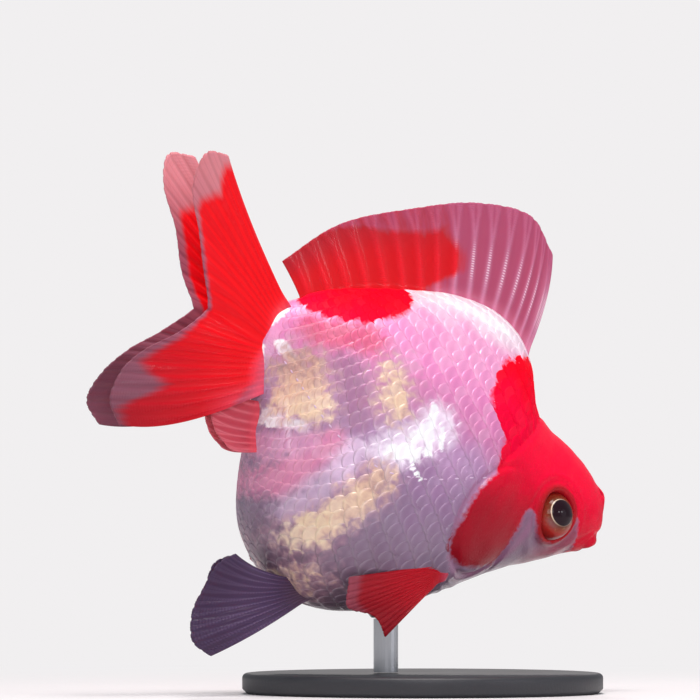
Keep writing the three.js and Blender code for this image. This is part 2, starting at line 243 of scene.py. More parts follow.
marks = {
    "nape": {"middle": (17, 17.5), "half": (13.4, 12)},
    "headFrom": 10.7,
    "napeTop": {"height": 27.0, "at": 7.7, "slope": 0.35},  # of its top edge
    "gillLow": {"middle": (10.8, -19.4), "half": (4.9, 7.3)},
    "cheek": {"rear": 24.4, "front": 39.9, "slope": 0.62, "top": -6.2, "ahead": (34, 41), "drop": 5},
    "throat": {"top": -26.4, "rear": 12, "slope": 0.4, "front": 42},
    "lid": {"middle": (33.6, -3.2), "radius": 7.1},
    "saddle": {"middle": (-33.5, 24.5), "half": (15, 6.6), "lean": -27.5},
    # start, end, half width, strength, and how bright the gold is at each end
    "gold": (
        ((-18.2, -18.5), (-26.6, -37), 3.8, 1, 0.3, 1),
        ((-42, 0), (-39, -7.5), 4.9, 0.8, 0.05, 0.95),
        ((-22, 6), (-21, 1), 3.7, 0.7, 0.7, 0.6),
        ((-18.4, -48), (-21.6, -47), 1.2, 0.5, 0.3, 0.5),
    ),
    # start, end and half width of soft clouds of another colour
    "rosy": (((-42, 10.5), (-30, 14.2), 4.2),),
    "rosyLow": (((-37, -28), (-31.5, -14.5), 3.6),),
    "blush": (((-41, -20), (-37, -16.5), 3.4),),
    "mauve": (((-33.5, 4.5), (-28.5, -6), 4.2),),
    "lavender": (((-31.5, -32.5), (-25.8, -14), 3.4),),
    # bright and the strokes after it are painted highlights: a soft white sheen on the mid flank and the
    # lower tail stem, and sharp glints on the flank, the tail stem and along the back
    "bright": (((-19, -11), (-9, 1), 4.8), ((-42, -13.4), (-38, -13), 1.6)),
    "paintedGlint": (
        ((-11.6, 4.4), (-9.8, -7), 1.1), ((-7.8, 0.5), (-6.6, -4.5), 0.8),
        ((-18.6, -10.6), (-12.6, -8.4), 2.1), ((-14.6, -5.5), (-11.4, -1), 1.7),
        ((-13, -11.6), (-8.8, -13.4), 0.5), ((-51.4, 8.4), (-49.4, 13), 1.2),
        ((-47.6, 4.2), (-44.6, 2.2), 1.3), ((-51.4, 1.6), (-50, -2), 1),
        ((-43, -12), (-42.3, -14.6), 1.2), ((-40.2, -13.6), (-38.4, -12.4), 0.9),
        ((5, 33.2), (-12, 33.8), 1.4),
    ),
}


def redDepth(x, z):
    top, cheek, throat, lid = (marks[key] for key in ("napeTop", "cheek", "throat", "lid"))
    under = (top["height"] + (x - top["at"]) * top["slope"] - z) / math.hypot(1, top["slope"])
    nape = np.minimum(insideOval(x, z, marks["nape"]), under)
    head = np.minimum(x - marks["headFrom"], under)
    plate = np.maximum(insideOval(x, z, gill), insideOval(x, z, marks["gillLow"]))
    red = np.maximum(np.maximum(nape, head), plate)
    away = fromSpot(x, z, lid["middle"]) - lid["radius"]  # the lid stays red
    behind = (cheek["front"] - x - cheek["slope"] * z) / math.hypot(1, cheek["slope"])
    pale = np.minimum(np.minimum(x - cheek["rear"], behind), away)
    pale = np.minimum(pale, cheek["top"] - z + cheek["drop"] * rise(x, *cheek["ahead"]))
    below = throat["top"] - z + throat["slope"] * np.maximum(x - throat["rear"], 0)
    below = np.minimum(below, throat["front"] - x)
    # the pale cheek and throat, and the head's own edge, fade over twice the distance
    red = np.minimum(np.where(red < 0, 0.5 * red, red), -0.5 * np.maximum(pale, below))
    return np.maximum(red, insideOval(x, z, marks["saddle"]))


def goldDepth(x, z):  # mm inside the gold, and how bright it is there
    depth, tone = np.full_like(x, -9.0), np.zeros_like(x)
    for start, end, wide, strength, first, last in marks["gold"]:
        here = (wide - fromLine(x, z, start, end)) * strength
        bright = first + (last - first) * rise(lineShare(x, z, start, end), -0.3, 1.3)
        tone = np.where(here > depth, bright, tone)
        depth = np.maximum(depth, here)
    return depth, tone


def cloudShare(x, z, name):
    return np.max([1 - rise(fromLine(x, z, a, b), 0, wide * 1.9) for a, b, wide in marks[name]], axis=0)


def addPiece(name, bm, material, stands=()):
    mesh = bpy.data.meshes.new(name)
    bm.to_mesh(mesh)
    bm.free()
    piece = bpy.data.objects.new(name, mesh)
    bpy.context.scene.collection.objects.link(piece)
    mesh.materials.append(material)
    mesh.shade_smooth()
    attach(piece, "root")
    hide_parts(*stands)
    return piece


def readPoints(mesh):
    flat = np.empty(len(mesh.vertices) * 3)
    mesh.vertices.foreach_get("co", flat)
    return flat.reshape(-1, 3)


def movePoints(mesh, points):
    mesh.vertices.foreach_set("co", np.ascontiguousarray(points, dtype=np.float32).ravel())
    mesh.update()


def addValues(mesh, **values):
    for name, array in values.items():
        attribute = mesh.attributes.new(name, "FLOAT", "POINT")
        attribute.data.foreach_set("value", np.ascontiguousarray(array, dtype=np.float32))


def turnOutward(mesh):
    bm = bmesh.new()
    bm.from_mesh(mesh)
    bmesh.ops.recalc_face_normals(bm, faces=bm.faces)
    bm.to_mesh(mesh)
    bm.free()


def addBakeMap(mesh, places):  # one place on the map for each vertex
    uv = mesh.uv_layers.new(name="OFBake")
    corner = np.empty(len(mesh.loops), dtype=int)
    mesh.loops.foreach_get("vertex_index", corner)
    uv.data.foreach_set("uv", places[corner].astype(np.float32).ravel())


def colour(text):  # sRGB hex to linear
    channels = [int(text[i : i + 2], 16) / 255 for i in (1, 3, 5)]
    return (*(c / 12.92 if c <= 0.04045 else ((c + 0.055) / 1.055) ** 2.4 for c in channels), 1)


def addNode(tree, kind, sockets=None, stops=(), **settings):
    node = tree.nodes.new("ShaderNode" + kind)
    for name, value in settings.items():
        setattr(node, name, value)
    if stops:
        points = node.color_ramp.elements
        points.remove(points[1])
        points[0].position, points[0].color = stops[0][0], colour(stops[0][1])
        for position, text in stops[1:]:
            points.new(position).color = colour(text)
    for name, value in (sockets or {}).items():
        found = node.inputs[name] if isinstance(name, int) else next(
            s for s in node.inputs if s.name == name and s.enabled)
        if isinstance(value, bpy.types.Node):
            value = next(s for s in value.outputs if s.enabled)
        if isinstance(value, bpy.types.NodeSocket):
            tree.links.new(value, found)
        else:
            found.default_value = colour(value) if isinstance(value, str) else value
    return node


def addMaterial(name):
    material = bpy.data.materials.new(name)
    material.use_nodes = True
    material.node_tree.nodes.clear()
    return material, material.node_tree


def painted(material, sockets):
    tree = material.node_tree
    addNode(tree, "OutputMaterial", {"Surface": addNode(tree, "BsdfPrincipled", sockets)})
    return material


def mix(tree, share, a, b, how="MIX"):  # of two colours
    return addNode(tree, "Mix", {0: share, 6: a, 7: b}, data_type="RGBA", blend_type=how)


def step(tree, value, start, end, how="SMOOTHSTEP"):  # 0 to 1 as value goes from start to end
    sockets = {"Value": value, "From Min": start, "From Max": end}
    return addNode(tree, "MapRange", sockets, interpolation_type=how)


def sums(tree, kind, a, b=0.0, c=0.0):
    return addNode(tree, "Math", {0: a, 1: b, 2: c}, operation=kind)


def times(tree, product, *factors):
    for factor in factors:
        product = sums(tree, "MULTIPLY", product, factor)
    return product


def scaled(tree, value, factor, added):
    return sums(tree, "MULTIPLY_ADD", value, factor, added)


def ramp(tree, value, low, high):  # low to high as value goes from 0 to 1
    return addNode(tree, "MapRange", {"Value": value, "To Min": low, "To Max": high})


def noise(tree, place, scale, detail, distortion=0.0):
    sockets = {"Vector": place, "Scale": scale, "Detail": detail, "Distortion": distortion}
    return addNode(tree, "TexNoise", sockets)


def stirred(tree, value, cloud, most):  # a value that a noise moves up and down
    return scaled(tree, cloud, most, sums(tree, "SUBTRACT", value, most / 2))


def bumpy(tree, height, strength, distance):
    return addNode(tree, "Bump", {"Height": height, "Strength": strength, "Distance": distance})


def attribute(tree, name):
    return addNode(tree, "Attribute", attribute_name=name).outputs["Fac"]


def objectPlace(tree):
    return addNode(tree, "TexCoord").outputs["Object"]


# Object coordinates turned back to the fish's own level frame, in mm.
def fishSpace(tree):
    turn = math.radians(pose["noseDown"])
    back = (pose["height"] * math.sin(turn), 0, -pose["height"] * math.cos(turn))
    return addNode(tree, "Mapping", {
        "Vector": objectPlace(tree), "Location": back, "Rotation": (0, -turn, 0), "Scale": (1 / mm,) * 3,
    })


skinLook = {
    # The ramps grow lighter from the belly up to the back: partly the fish's own tones, partly painted
    # shade below and a near-white painted highlight along the top.
    "heights": (-50, 38),  # where the ramps below begin and end, belly to back
    "red": ((0.2, "#8c121c"), (0.3, "#941222"), (0.42, "#a60e24"), (0.53, "#d00a2c"), (0.64, "#f80638"),
            (0.74, "#ff0a3a"), (0.84, "#ff0524")),
    "pearl": ((0.0, "#665060"), (0.08, "#7c6676"), (0.25, "#968096"), (0.4, "#a080a0"), (0.52, "#bc92b8"),
              (0.62, "#d88cb6"), (0.74, "#f69ccc"), (0.86, "#fcb0d6"), (0.95, "#fff0f6")),
    "gold": ((0.2, "#a89088"), (0.4, "#cfaa9a"), (0.58, "#efcdae"), (0.76, "#fbe3bf")),
    "wash": "#c9a0ac",
    "clouds": (  # name, colour, strength, and where it fades out and is full
        ("rosy", "#da627e", 0.85, 0, 1), ("rosyLow", "#f09cbc", 0.8, 0, 1), ("blush", "#e8accc", 0.8, 0, 1),
        ("mauve", "#a97c98", 0.85, 0, 1), ("lavender", "#dcc0d8", 0.8, 0, 1),
        # bright and the glint strokes are painted highlights of the wet skin
        ("bright", "#fdf0fc", 0.85, 0, 1), ("paintedGlint", "#ffffff", 1, 0.3, 0.75),
    ),
}


# The colour that skin and scales share: pearl or red by the markings, gold where the scales mirror, darker
# towards the belly with painted shade, with painted highlights along the back and on the flank.
def skinColour(tree, fish):
    place = addNode(tree, "SeparateXYZ", {"Vector": fish})
    height = step(tree, place.outputs["Z"], *skinLook["heights"], "LINEAR")
    cloud = noise(tree, fish, 0.11, 4.0)  # about 9 mm across
    lumps = noise(tree, fish, 0.42, 4.0, 0.8)  # 2.4 mm
    fine = noise(tree, fish, 0.9, 3.0)  # 1.1 mm
    # lighter with height: partly painted shade lower down and a painted highlight along the back
    shifted = stirred(tree, height, cloud, 0.16)
    pearl = addNode(tree, "ValToRGB", {"Fac": shifted}, stops=skinLook["pearl"])
    # the clouds include painted highlights, mixed in like the rest
    for name, tone, most, start, end in skinLook["clouds"]:
        share = attribute(tree, name)
        loose = stirred(tree, share, lumps, 1.3)
        within = times(tree, step(tree, loose, start, end), step(tree, share, 0.0, 0.3), most)
        pearl = mix(tree, within, pearl, tone)

    # gold lies in curds about 2.8 mm across, over a duller wash that reaches a little further
    curds = noise(tree, fish, 0.36, 1.5, 0.5)
    depth = stirred(tree, stirred(tree, attribute(tree, "gold"), curds, 7.0), lumps, 4.0)
    pearl = mix(tree, times(tree, step(tree, depth, -4.0, 0.5), 0.6), pearl, skinLook["wash"])
    # its brightness changes along each mark, over the lumps and from scale to scale
    shine = scaled(tree, lumps, 0.6, times(tree, attribute(tree, "goldTone"), 0.42))
    shine = scaled(tree, fine, 0.2, sums(tree, "SUBTRACT", shine, 0.12))
    shine = scaled(tree, attribute(tree, "seed"), 0.1, shine)
    gold = addNode(tree, "ValToRGB", {"Fac": shine}, stops=skinLook["gold"])
    pearl = mix(tree, times(tree, step(tree, depth, -1.6, 1.9), 0.9), pearl, gold)

    red = addNode(tree, "ValToRGB", {"Fac": shifted}, stops=skinLook["red"])
    isRed = step(tree, stirred(tree, attribute(tree, "red"), fine, 1.0), -0.4, 0.4)
    return mix(tree, isRed, pearl, red), isRed, fine


# Living skin: thin clear slime over pigment, so it is wet and a little soft to the light.
def wetSkin():
    material, tree = addMaterial("wetFishSkin")
    fish = fishSpace(tree)
    base, isRed, fine = skinColour(tree, fish)
    # the cheek and the throat are bare and duller than the flank, and a painted shade lies in the crease
    # just behind the gill cover's edge
    for name, tone in (("cheek", "#806078"), ("throat", "#984258"), ("seam", "#9c6486")):
        bare = times(tree, attribute(tree, name), sums(tree, "SUBTRACT", 1.0, isRed))
        base = mix(tree, bare, base, tone)
    # painted shade: a darker red ring round the sunken eye socket
    base = mix(tree, times(tree, attribute(tree, "lid"), 0.85), base, "#961e1e")
    # painted shade in the mouth slit and the nostril openings
    base = mix(tree, attribute(tree, "hollow"), base, "#4a0f18")
    pores = addNode(tree, "TexVoronoi", {"Vector": fish, "Scale": 0.9})  # pores about 1.1 mm apart
    pits = step(tree, pores.outputs["Distance"], 0.0, 0.35)
    grain = noise(tree, fish, 2.4, 2.0)
    bump = bumpy(tree, scaled(tree, pits, 0.5, grain), 0.4, 0.0004)
    gloss = ramp(tree, fine, 0.3, 0.5)
    return painted(material, {
        "Base Color": base, "Roughness": gloss, "Normal": bump, "IOR": 1.4, "Specular IOR Level": 0.06,
        "Subsurface Weight": 0.1, "Subsurface Radius": (1.0, 0.3, 0.2), "Subsurface Scale": 0.001,
        "Coat Weight": ramp(tree, isRed, 0.55, 0.17), "Coat Roughness": 0.1, "Coat IOR": 1.4,
    })


# Scales: clear horn over pearly guanine, wet on top, each with painted shade where it lies behind the scale
# in front and a paler free edge that is a painted highlight.
def wetScale():
    material, tree = addMaterial("pearlyScale")
    fish = fishSpace(tree)
    base, isRed, fine = skinColour(tree, fish)
    reach, seed = attribute(tree, "reach"), attribute(tree, "seed")
    # painted shade: each scale is a little darker just behind the edge of the scale in front than at its
    # own edge
    pocketShade = times(tree, step(tree, reach, 0.35, 0.66), step(tree, reach, 0.98, 0.7))
    pocketShadeTone = mix(tree, 1.0, base, "#d8c0d4", "MULTIPLY")
    base = mix(tree, times(tree, pocketShade, scaled(tree, isRed, -0.22, 0.3)), base, pocketShadeTone)
    # a painted highlight pales the free edge of the pearly scales
    rim = times(tree, step(tree, reach, 0.84, 0.98), scaled(tree, isRed, -0.05, 0.05))
    base = mix(tree, rim, base, "#fff0f6")
    # and each has its own tint, the red ones less so
    tint = addNode(tree, "HueSaturation", {
        "Color": base, "Fac": scaled(tree, isRed, -0.9, 1.0), "Saturation": ramp(tree, seed, 0.93, 1.07),
        "Value": ramp(tree, seed, 1.03, 0.96),
    })
    # growth rings are 0.1 mm apart on a real scale, drawn here at about 0.45 mm so that they show
    rings = sums(tree, "SINE", times(tree, reach, 76.0))
    crinkle = noise(tree, fish, 0.3, 2.0)
    relief = scaled(tree, crinkle, 2.4, scaled(tree, rings, 0.08, fine))
    bump = bumpy(tree, relief, 0.3, 0.0003)
    gloss = scaled(tree, isRed, 0.3, ramp(tree, seed, 0.24, 0.4))
    return painted(material, {
        "Base Color": tint, "Roughness": gloss, "Normal": bump, "IOR": 1.45, "Specular IOR Level": 0.03,
        "Metallic": ramp(tree, isRed, 0.12, 0.0), "Subsurface Weight": 0.1,
        "Subsurface Radius": (1.0, 0.4, 0.3), "Subsurface Scale": 0.001,
        "Coat Weight": ramp(tree, isRed, 0.32, 0.01), "Coat Roughness": 0.12, "Coat IOR": 1.4,
    })


def markPoints(mesh, points, centres=None):
    x, z = points[:, 0], points[:, 2]
    if centres is None:
        red, (gold, tone) = redDepth(x, z), goldDepth(x, z)
    else:  # half by the scale's own middle, so that a mark's edge follows the scales
        red = 0.5 * redDepth(x, z) + 0.5 * redDepth(centres[:, 0], centres[:, 2])
        gold, tone = goldDepth(x, z)
        gold = 0.6 * gold + 0.4 * goldDepth(centres[:, 0], centres[:, 2])[0]
    clouds = {name: cloudShare(x, z, name) for name, *_ in skinLook["clouds"]}
    addValues(mesh, red=red, gold=gold, goldTone=tone, **clouds)


fleshNodes = ["head", "upper_jaw", "lower_jaw", "gill_cover_left", "gill_cover_right",
              "shoulder", "breast", "back", "belly", "tail_stem"]


def makeSkin():
    bm = bmesh.new()
    bmesh.ops.create_uvsphere(bm, u_segments=body["sides"], v_segments=body["rings"], radius=1)
    piece = addPiece("skin", bm, wetSkin(), fleshNodes)
    ball = readPoints(piece.data)
    share = np.arccos(np.clip(ball[:, 2], -1, 1)) / math.pi
    u = np.interp(share, *body["ringShares"])
    around = np.arctan2(ball[:, 1], ball[:, 0])
    plain = loft(u, around)
    movePoints(piece.data, toWorld(skinPoint(u, around)))
    markPoints(piece.data, plain)
    x, y, z = plain[:, 0], np.abs(plain[:, 1]), plain[:, 2]
    # painted shade for the mouth slit and the nostril openings
    over = np.abs(z - mouth["at"][1] + mouth["slope"] * (mouth["at"][0] - x))
    slit = (1 - rise(over, 0.2, 0.9)) * rise(x, mouth["corner"] - 0.4, mouth["corner"] + 0.8)
    pits = [ridge(fromSpot(x, y, nostril[spot]), 0.5) for spot in ("front", "rear")]
    hollow = np.maximum(slit, np.max(pits, axis=0) * rise(z, 4, 6))
    # painted shade round the eye socket, a little weaker in front
    lid = (1 - rise(eyeDistance(plain), 6.2, 7.9)) * (1 - 0.25 * rise(x, 29, 37))
    # painted shade in the crease just behind the gill cover's free edge
    seam = 0.6 * ridge(insideOval(x, z, gill) + 1.2, 1.3)
    cheek = rise(x, 15, 23) * (1 - rise(z, 2, 8))
    addValues(piece.data, lid=lid, hollow=hollow, seam=seam, cheek=cheek, throat=rise(x - 0.5 * z, 37, 46))
    # the sphere's faces turn inside out when its poles are laid along the fish
    turnOutward(piece.data)


makeSkin()
print("skin done")

# mm that the lateral line runs above the widest line of the flank, at each x
lateralLine = (
    (-52, -47, -38, -28, -17.6, -8.8, -4.9, 3, 6.9, 12.5),
    (0, -1, -3.6, -5.2, -5, -2.2, -0.6, 3, 4, 6.4),
)
coat = {
    "long": 4.5,  # between scales of one row, mm
    "high": 2.75,  # between rows
    "tailShare": 0.6,  # of those sizes at the tail
    "rows": 34,  # at most, above and below the lateral line
    "span": (0.29, 0.905),  # of the body's length
    "width": 2.36,  # of a scale, in row heights
    "length": 1.3,  # of a scale, in spacings along a row
    "arc": 0.8,  # depth of the rounded hind edge, in spacings
    "faces": (8, 6),  # across and along
    "lift": (-0.04, 0.1),  # over the skin, at the root and at the free edge
    "thick": 0.07,
    "tilt": 0.03,  # by which a scale stands out more on one side or the other
    "patch": 0.003,  # of the bake map, for each scale
}


def scaleSize(points):
    return coat["tailShare"] + (1 - coat["tailShare"]) * rise(points[:, 0], -46, -14)


def walkAlong(points, pace=1.0):  # the way to each point, counted in paces
    steps = np.linalg.norm(np.diff(points, axis=0), axis=1) / pace
    return np.concatenate(([0], np.cumsum(steps)))


# Rows run parallel to the lateral line and columns follow the body's sections, offset by half a scale.
def scalePlaces(side):
    u = np.linspace(*coat["span"], 1200)
    line = loft(u, np.full_like(u, math.pi / 2))
    size = scaleSize(line)
    count = walkAlong(line, coat["long"] / 2 * size[1:])
    columns = np.arange(1, int(count[-1]))
    columnU = np.interp(columns, count, u)
    columnSize = np.interp(columns, count, size)
    rows = np.arange(-coat["rows"], coat["rows"] + 1)
    around = np.linspace(0, math.pi, 721)
    widest = len(around) // 2
    grid = np.empty((len(columns), len(rows)))
    inside = np.empty_like(grid, dtype=bool)
    for i, (here, share) in enumerate(zip(columnU, columnSize)):
        ring = loft(np.full_like(around, here), around)
        walked = walkAlong(ring)
        walked -= walked[widest] - np.interp(ring[widest, 0], *lateralLine)
        wanted = rows * coat["high"] * share
        grid[i] = np.interp(wanted, walked, around)
        inside[i] = (wanted > walked[0] + 0.3) & (wanted < walked[-1] - 0.1)
    slope = np.gradient(grid, columnU, axis=0)
    i, j = np.nonzero(inside & ((columns[:, None] + rows[None, :]) % 2 == 0))
    u, around, slope = columnU[i], grid[i, j], slope[i, j]
    where = loft(u, around)
    keep = scaledDepth(where[:, 0], where[:, 2]) > np.where(where[:, 2] > 3, -0.9, 0.2)
    return u[keep], side * around[keep], side * slope[keep], columnSize[i[keep]]


def makeScales(name, side, material):
    u, around, slope, size = scalePlaces(side)
    across, along = coat["faces"]
    bm = bmesh.new()
    for _ in u:
        bmesh.ops.create_grid(bm, x_segments=across, y_segments=along, size=1)
    piece = addPiece(name, bm, material)
    flat = readPoints(piece.data)
    each = (across + 1) * (along + 1)
    owner = np.repeat(np.arange(len(u)), each)
    q, reach = flat[:, 0], ((flat[:, 1] + 1) / 2) ** 0.8  # across, and from the root to the free edge
    random = np.random.default_rng(7 if side > 0 else 8)
    seed = random.random(len(u))

    # the scale laid flat: x back from its middle, y across
    high, long = coat["high"] * size[owner], coat["long"] * size[owner]
    angle = q * math.pi / 2 * 0.985
    y = np.sin(angle) * high * coat["width"] / 2
    hindEdge = -coat["arc"] * long * (1 - np.cos(angle))
    x = 0.55 * long + (hindEdge - (1 - reach) * (coat["length"] * long + hindEdge))

    # and on the body: along the row, and across it
    alongU, alongRound = loftSlopes(u, around)
    back = unit(alongU + alongRound * slope[:, None])
    normal = unit(np.cross(alongU, alongRound))
    upward = np.cross(normal, back)
    moved = back[owner] * x[:, None] + upward[owner] * y[:, None]
    e, f, g = ((alongU * alongU).sum(1), (alongU * alongRound).sum(1), (alongRound * alongRound).sum(1))
    dotU, dotRound = (moved * alongU[owner]).sum(1), (moved * alongRound[owner]).sum(1)
    area = (e * g - f * f)[owner]
    vertexU = u[owner] + (g[owner] * dotU - f[owner] * dotRound) / area
    vertexAround = around[owner] + (e[owner] * dotRound - f[owner] * dotU) / area
    low, top = coat["lift"]
    tilt = 1 + 0.16 * (seed[owner] - 0.5)
    lift = low + (top * tilt - low) * np.minimum(reach / 0.93, 1) - 0.035 * np.abs(q) ** 3
    lift += coat["tilt"] * (2 * random.random(len(u))[owner] - 1) * q * reach - 0.02 * rise(reach, 0.93, 1)
    plain = loft(vertexU, vertexAround)
    bare = scaledDepth(plain[:, 0], plain[:, 2])
    lift = lift * (0.6 + 0.4 * size[owner]) - 0.45 * (1 - rise(bare, -0.8, 2.2))
    lift -= 1.1 * rise(insideOval(plain[:, 0], plain[:, 2], gill), -0.9, 0.2)
    lift -= 0.3 * rise(-plain[:, 0], 48, 51.5)
    points = skinPoint(vertexU, vertexAround, lift)
    movePoints(piece.data, toWorld(points))
    markPoints(piece.data, plain, loft(u, around)[owner])
    addValues(piece.data, reach=reach, seed=seed[owner])

    root = np.stack(((around / (2 * math.pi)) % 1, u), axis=1)[owner]
    patch = np.stack((q / 2, reach - 0.5), axis=1) * coat["patch"]
    addBakeMap(piece.data, root + patch)
    # the right side's sheets face inwards and the left side's outwards, or the other way round
    normals = np.empty(len(piece.data.vertices) * 3)
    piece.data.vertices.foreach_get("normal", normals)
    outward = toWorld(points + loftNormal(vertexU, vertexAround)) - toWorld(points)
    if (normals.reshape(-1, 3) * outward).sum() < 0:
        piece.data.flip_normals()
    solid = piece.modifiers.new("thickness", "SOLIDIFY")
    solid.thickness, solid.offset = coat["thick"] * mm, -1
    print(name, len(u), "scales")


scaleMaterial = wetScale()
makeScales("scales_right", 1, scaleMaterial)
makeScales("scales_left", -1, scaleMaterial)

pore = {"span": (0.36, 0.9), "long": 0.6, "wide": 0.2, "high": 0.1, "lift": 0.06}


# The short raised tubes of the lateral line, one for each scale of its row.
def makePores(name, side, material):
    u = np.linspace(*pore["span"], 1600)
    flank = np.full_like(u, math.pi / 2)
    risen = np.interp(loft(u, flank)[:, 0], *lateralLine)
    around = flank - risen / np.linalg.norm(loftSlopes(u, flank)[1], axis=1)
    line = loft(u, around)
    walked = walkAlong(line, coat["long"] * scaleSize(line)[1:])
    bare = scaledDepth(line[:, 0], line[:, 2])
    places = np.arange(np.interp(0.8, bare, walked), walked[-1])
    poreU, poreAround = np.interp(places, walked, u), side * np.interp(places, walked, around)
    middle = skinPoint(poreU, poreAround, np.full_like(poreU, pore["lift"]))
    ahead = unit(skinPoint(poreU + 0.004, side * np.interp(poreU + 0.004, u, around)) - middle)
    normal = loftNormal(poreU, poreAround)
    across = np.cross(normal, ahead)
    bm = bmesh.new()
    for n in range(len(places)):  # laid out in a line first, 3 apart
        moved = Matrix.Translation((3 * n, 0, 0))
        bmesh.ops.create_uvsphere(bm, u_segments=14, v_segments=9, radius=1, matrix=moved)
    piece = addPiece(name, bm, material)
    ball = readPoints(piece.data)
    owner = np.rint(ball[:, 0] / 3).astype(int)
    ball[:, 0] -= 3 * owner
    points = middle[owner]
    for axis, (way, size) in enumerate(((ahead, "long"), (across, "wide"), (normal, "high"))):
        points = points + way[owner] * ball[:, axis, None] * pore[size]
    movePoints(piece.data, toWorld(points))
    root = np.stack(((poreAround / (2 * math.pi)) % 1, poreU), axis=1)[owner]
    addBakeMap(piece.data, root + ball[:, :2] * coat["patch"] / 2)
    turnOutward(piece.data)
    print(name, len(places), "pores")


# Pore: a pale bony tube, wet like the scale that it lies on.
def poreHorn():
    material, tree = addMaterial("palePore")
    fish = fishSpace(tree)
    cloud = noise(tree, fish, 0.5, 3.0)
    base = mix(tree, cloud, "#c8a8c6", "#dcc2dc")
    gloss = ramp(tree, cloud, 0.25, 0.4)
    return painted(material, {
        "Base Color": base, "Roughness": gloss, "IOR": 1.45, "Coat Weight": 0.4, "Coat Roughness": 0.1,
    })


horn = poreHorn()
makePores("pores_right", 1, horn)
makePores("pores_left", -1, horn)

fins = {
    "dorsal_fin": {
        "root": [(16.4, 0, 30.4), (8, 0, 34.4), (-3, 0, 35), (-16, 0, 31.4), (-30, 0, 25.4),
                 (-44.4, 0, 17)],
        "bend": [(16.8, 0, 47), (8, 0, 51), (-7, 0, 49), (-22, 0, 43), (-37, 0, 34.4), (-49, 0, 21)],
        "margin": [(12.2, 0, 57), (3.6, 0, 63), (-12, 0, 59.4), (-28, 0, 50), (-43, 0, 38.6),
                   (-53.4, 0, 23.6)],
        "wave": 0.8, "rays": 16, "split": 0.55, "mesh": (224, 54),
    },
    "upper_tail_fin": {
        "root": [(-47, 1.2, 13.6), (-48.4, 2, 9), (-48.6, 2.6, 3.6)],
        "bend": [(-67.2, 5, 26), (-69, 7, 17.6), (-60, 4, 5.4)],
        "margin": [(-81.6, 9.4, 38.5), (-87.6, 10, 36.4), (-86.6, 8.8, 28.4), (-79.6, 7, 19.4),
                   (-74, 5.4, 11), (-68.2, 4, 4.4)],
        "wave": 0.9,
    },
    "lower_tail_fin": {
        "root": [(-48.6, 2.6, 3), (-48, 2.8, -2), (-45.4, 2.6, -8)],
        "bend": [(-60, 4, 2.6), (-68, 6, -11), (-64.2, 5.6, -28.6)],
        "margin": [(-68.2, 4, 3.2), (-73.4, 4.6, -5), (-79.6, 5.2, -12.8), (-83.2, 5.6, -20.4),
                   (-83.4, 5.8, -28), (-78.4, 5.6, -32)],
        "wave": 0.9,
    },
    "anal_fin": {
        "root": [(-40.6, 1.5, -21.6), (-42.6, 1.5, -17), (-44.6, 1.5, -10)],
        "bend": [(-44.6, 1.6, -24), (-48.8, 1.7, -19.4), (-50.2, 1.5, -11.6)],
        "margin": [(-47.4, 1.9, -23.8), (-52.4, 1.9, -21.8), (-56, 1.9, -17), (-55, 1.7, -11.2)],
        "wave": 0.1, "rays": 7, "split": 0.45, "mesh": (70, 26),
    },
    "pelvic_fin": {
        "root": [(-13.6, 5.2, -47.4), (-16, 5.6, -46.6), (-18.8, 6, -45)],
        "bend": [(-22.4, 5.2, -61.6), (-28.6, 6, -56.2), (-29, 6.6, -49)],
        "margin": [(-32, 5, -72), (-38.2, 5.4, -71), (-41, 5.8, -65), (-41, 6.2, -57.6), (-40.6, 6.6, -51),
                   (-37.4, 7, -47)],
        "wave": 0.7, "leftSweep": 2, "leftSpread": -5, "leftReach": 0.88, "rays": 11, "split": 0.4,
        "mesh": (120, 46),
    },
    "pectoral_fin": {
        "root": [(11.6, 19.2, -26.4), (10.6, 19.2, -28.6), (10.8, 17.8, -31)],
        "bend": [(-1, 24.6, -33.8), (1, 23.8, -39), (6.4, 20.8, -39.4)],
        "margin": [(-14, 21.6, -42.2), (-11.6, 22, -48.8), (-3.4, 21, -47.8), (1.8, 20.4, -51)],
        "wave": 0.5, "leftSweep": 20, "leftSpread": 7, "rays": 12, "split": 0.4, "mesh": (110, 46),
    },
    "tail_fin": {"rays": 20, "split": 0.22, "mesh": (240, 64)},  # upper and lower lobe in one sheet
}
finThick = {"membrane": 0.16, "rayRoot": 0.6, "rayTip": 0.2, "flare": 1.9, "pleat": 0.07}


# Centripetal Catmull-Rom, the curve that the solids' fins are made on.
def curveAt(points, share):
    p = np.array(points, float)
    p = np.concatenate(([2 * p[0] - p[1]], p, [2 * p[-1] - p[-2]]))
    last = len(points) - 1
    i = np.clip(np.floor(share * last).astype(int), 0, last - 1)
    t = (share * last - i)[..., None]
    a, b, c, d = (p[i + k] for k in range(4))
    gaps = (np.linalg.norm(w - v, axis=-1, keepdims=True) for v, w in ((a, b), (b, c), (c, d)))
    ab, bc, cd = (np.sqrt(length) for length in gaps)
    into = ((b - a) / ab - (c - a) / (ab + bc) + (c - b) / bc) * bc
    out = ((c - b) / bc - (d - b) / (bc + cd) + (d - c) / cd) * bc
    return b + into * t + (3 * (c - b) - 2 * into - out) * t**2 + (2 * (b - c) + into + out) * t**3


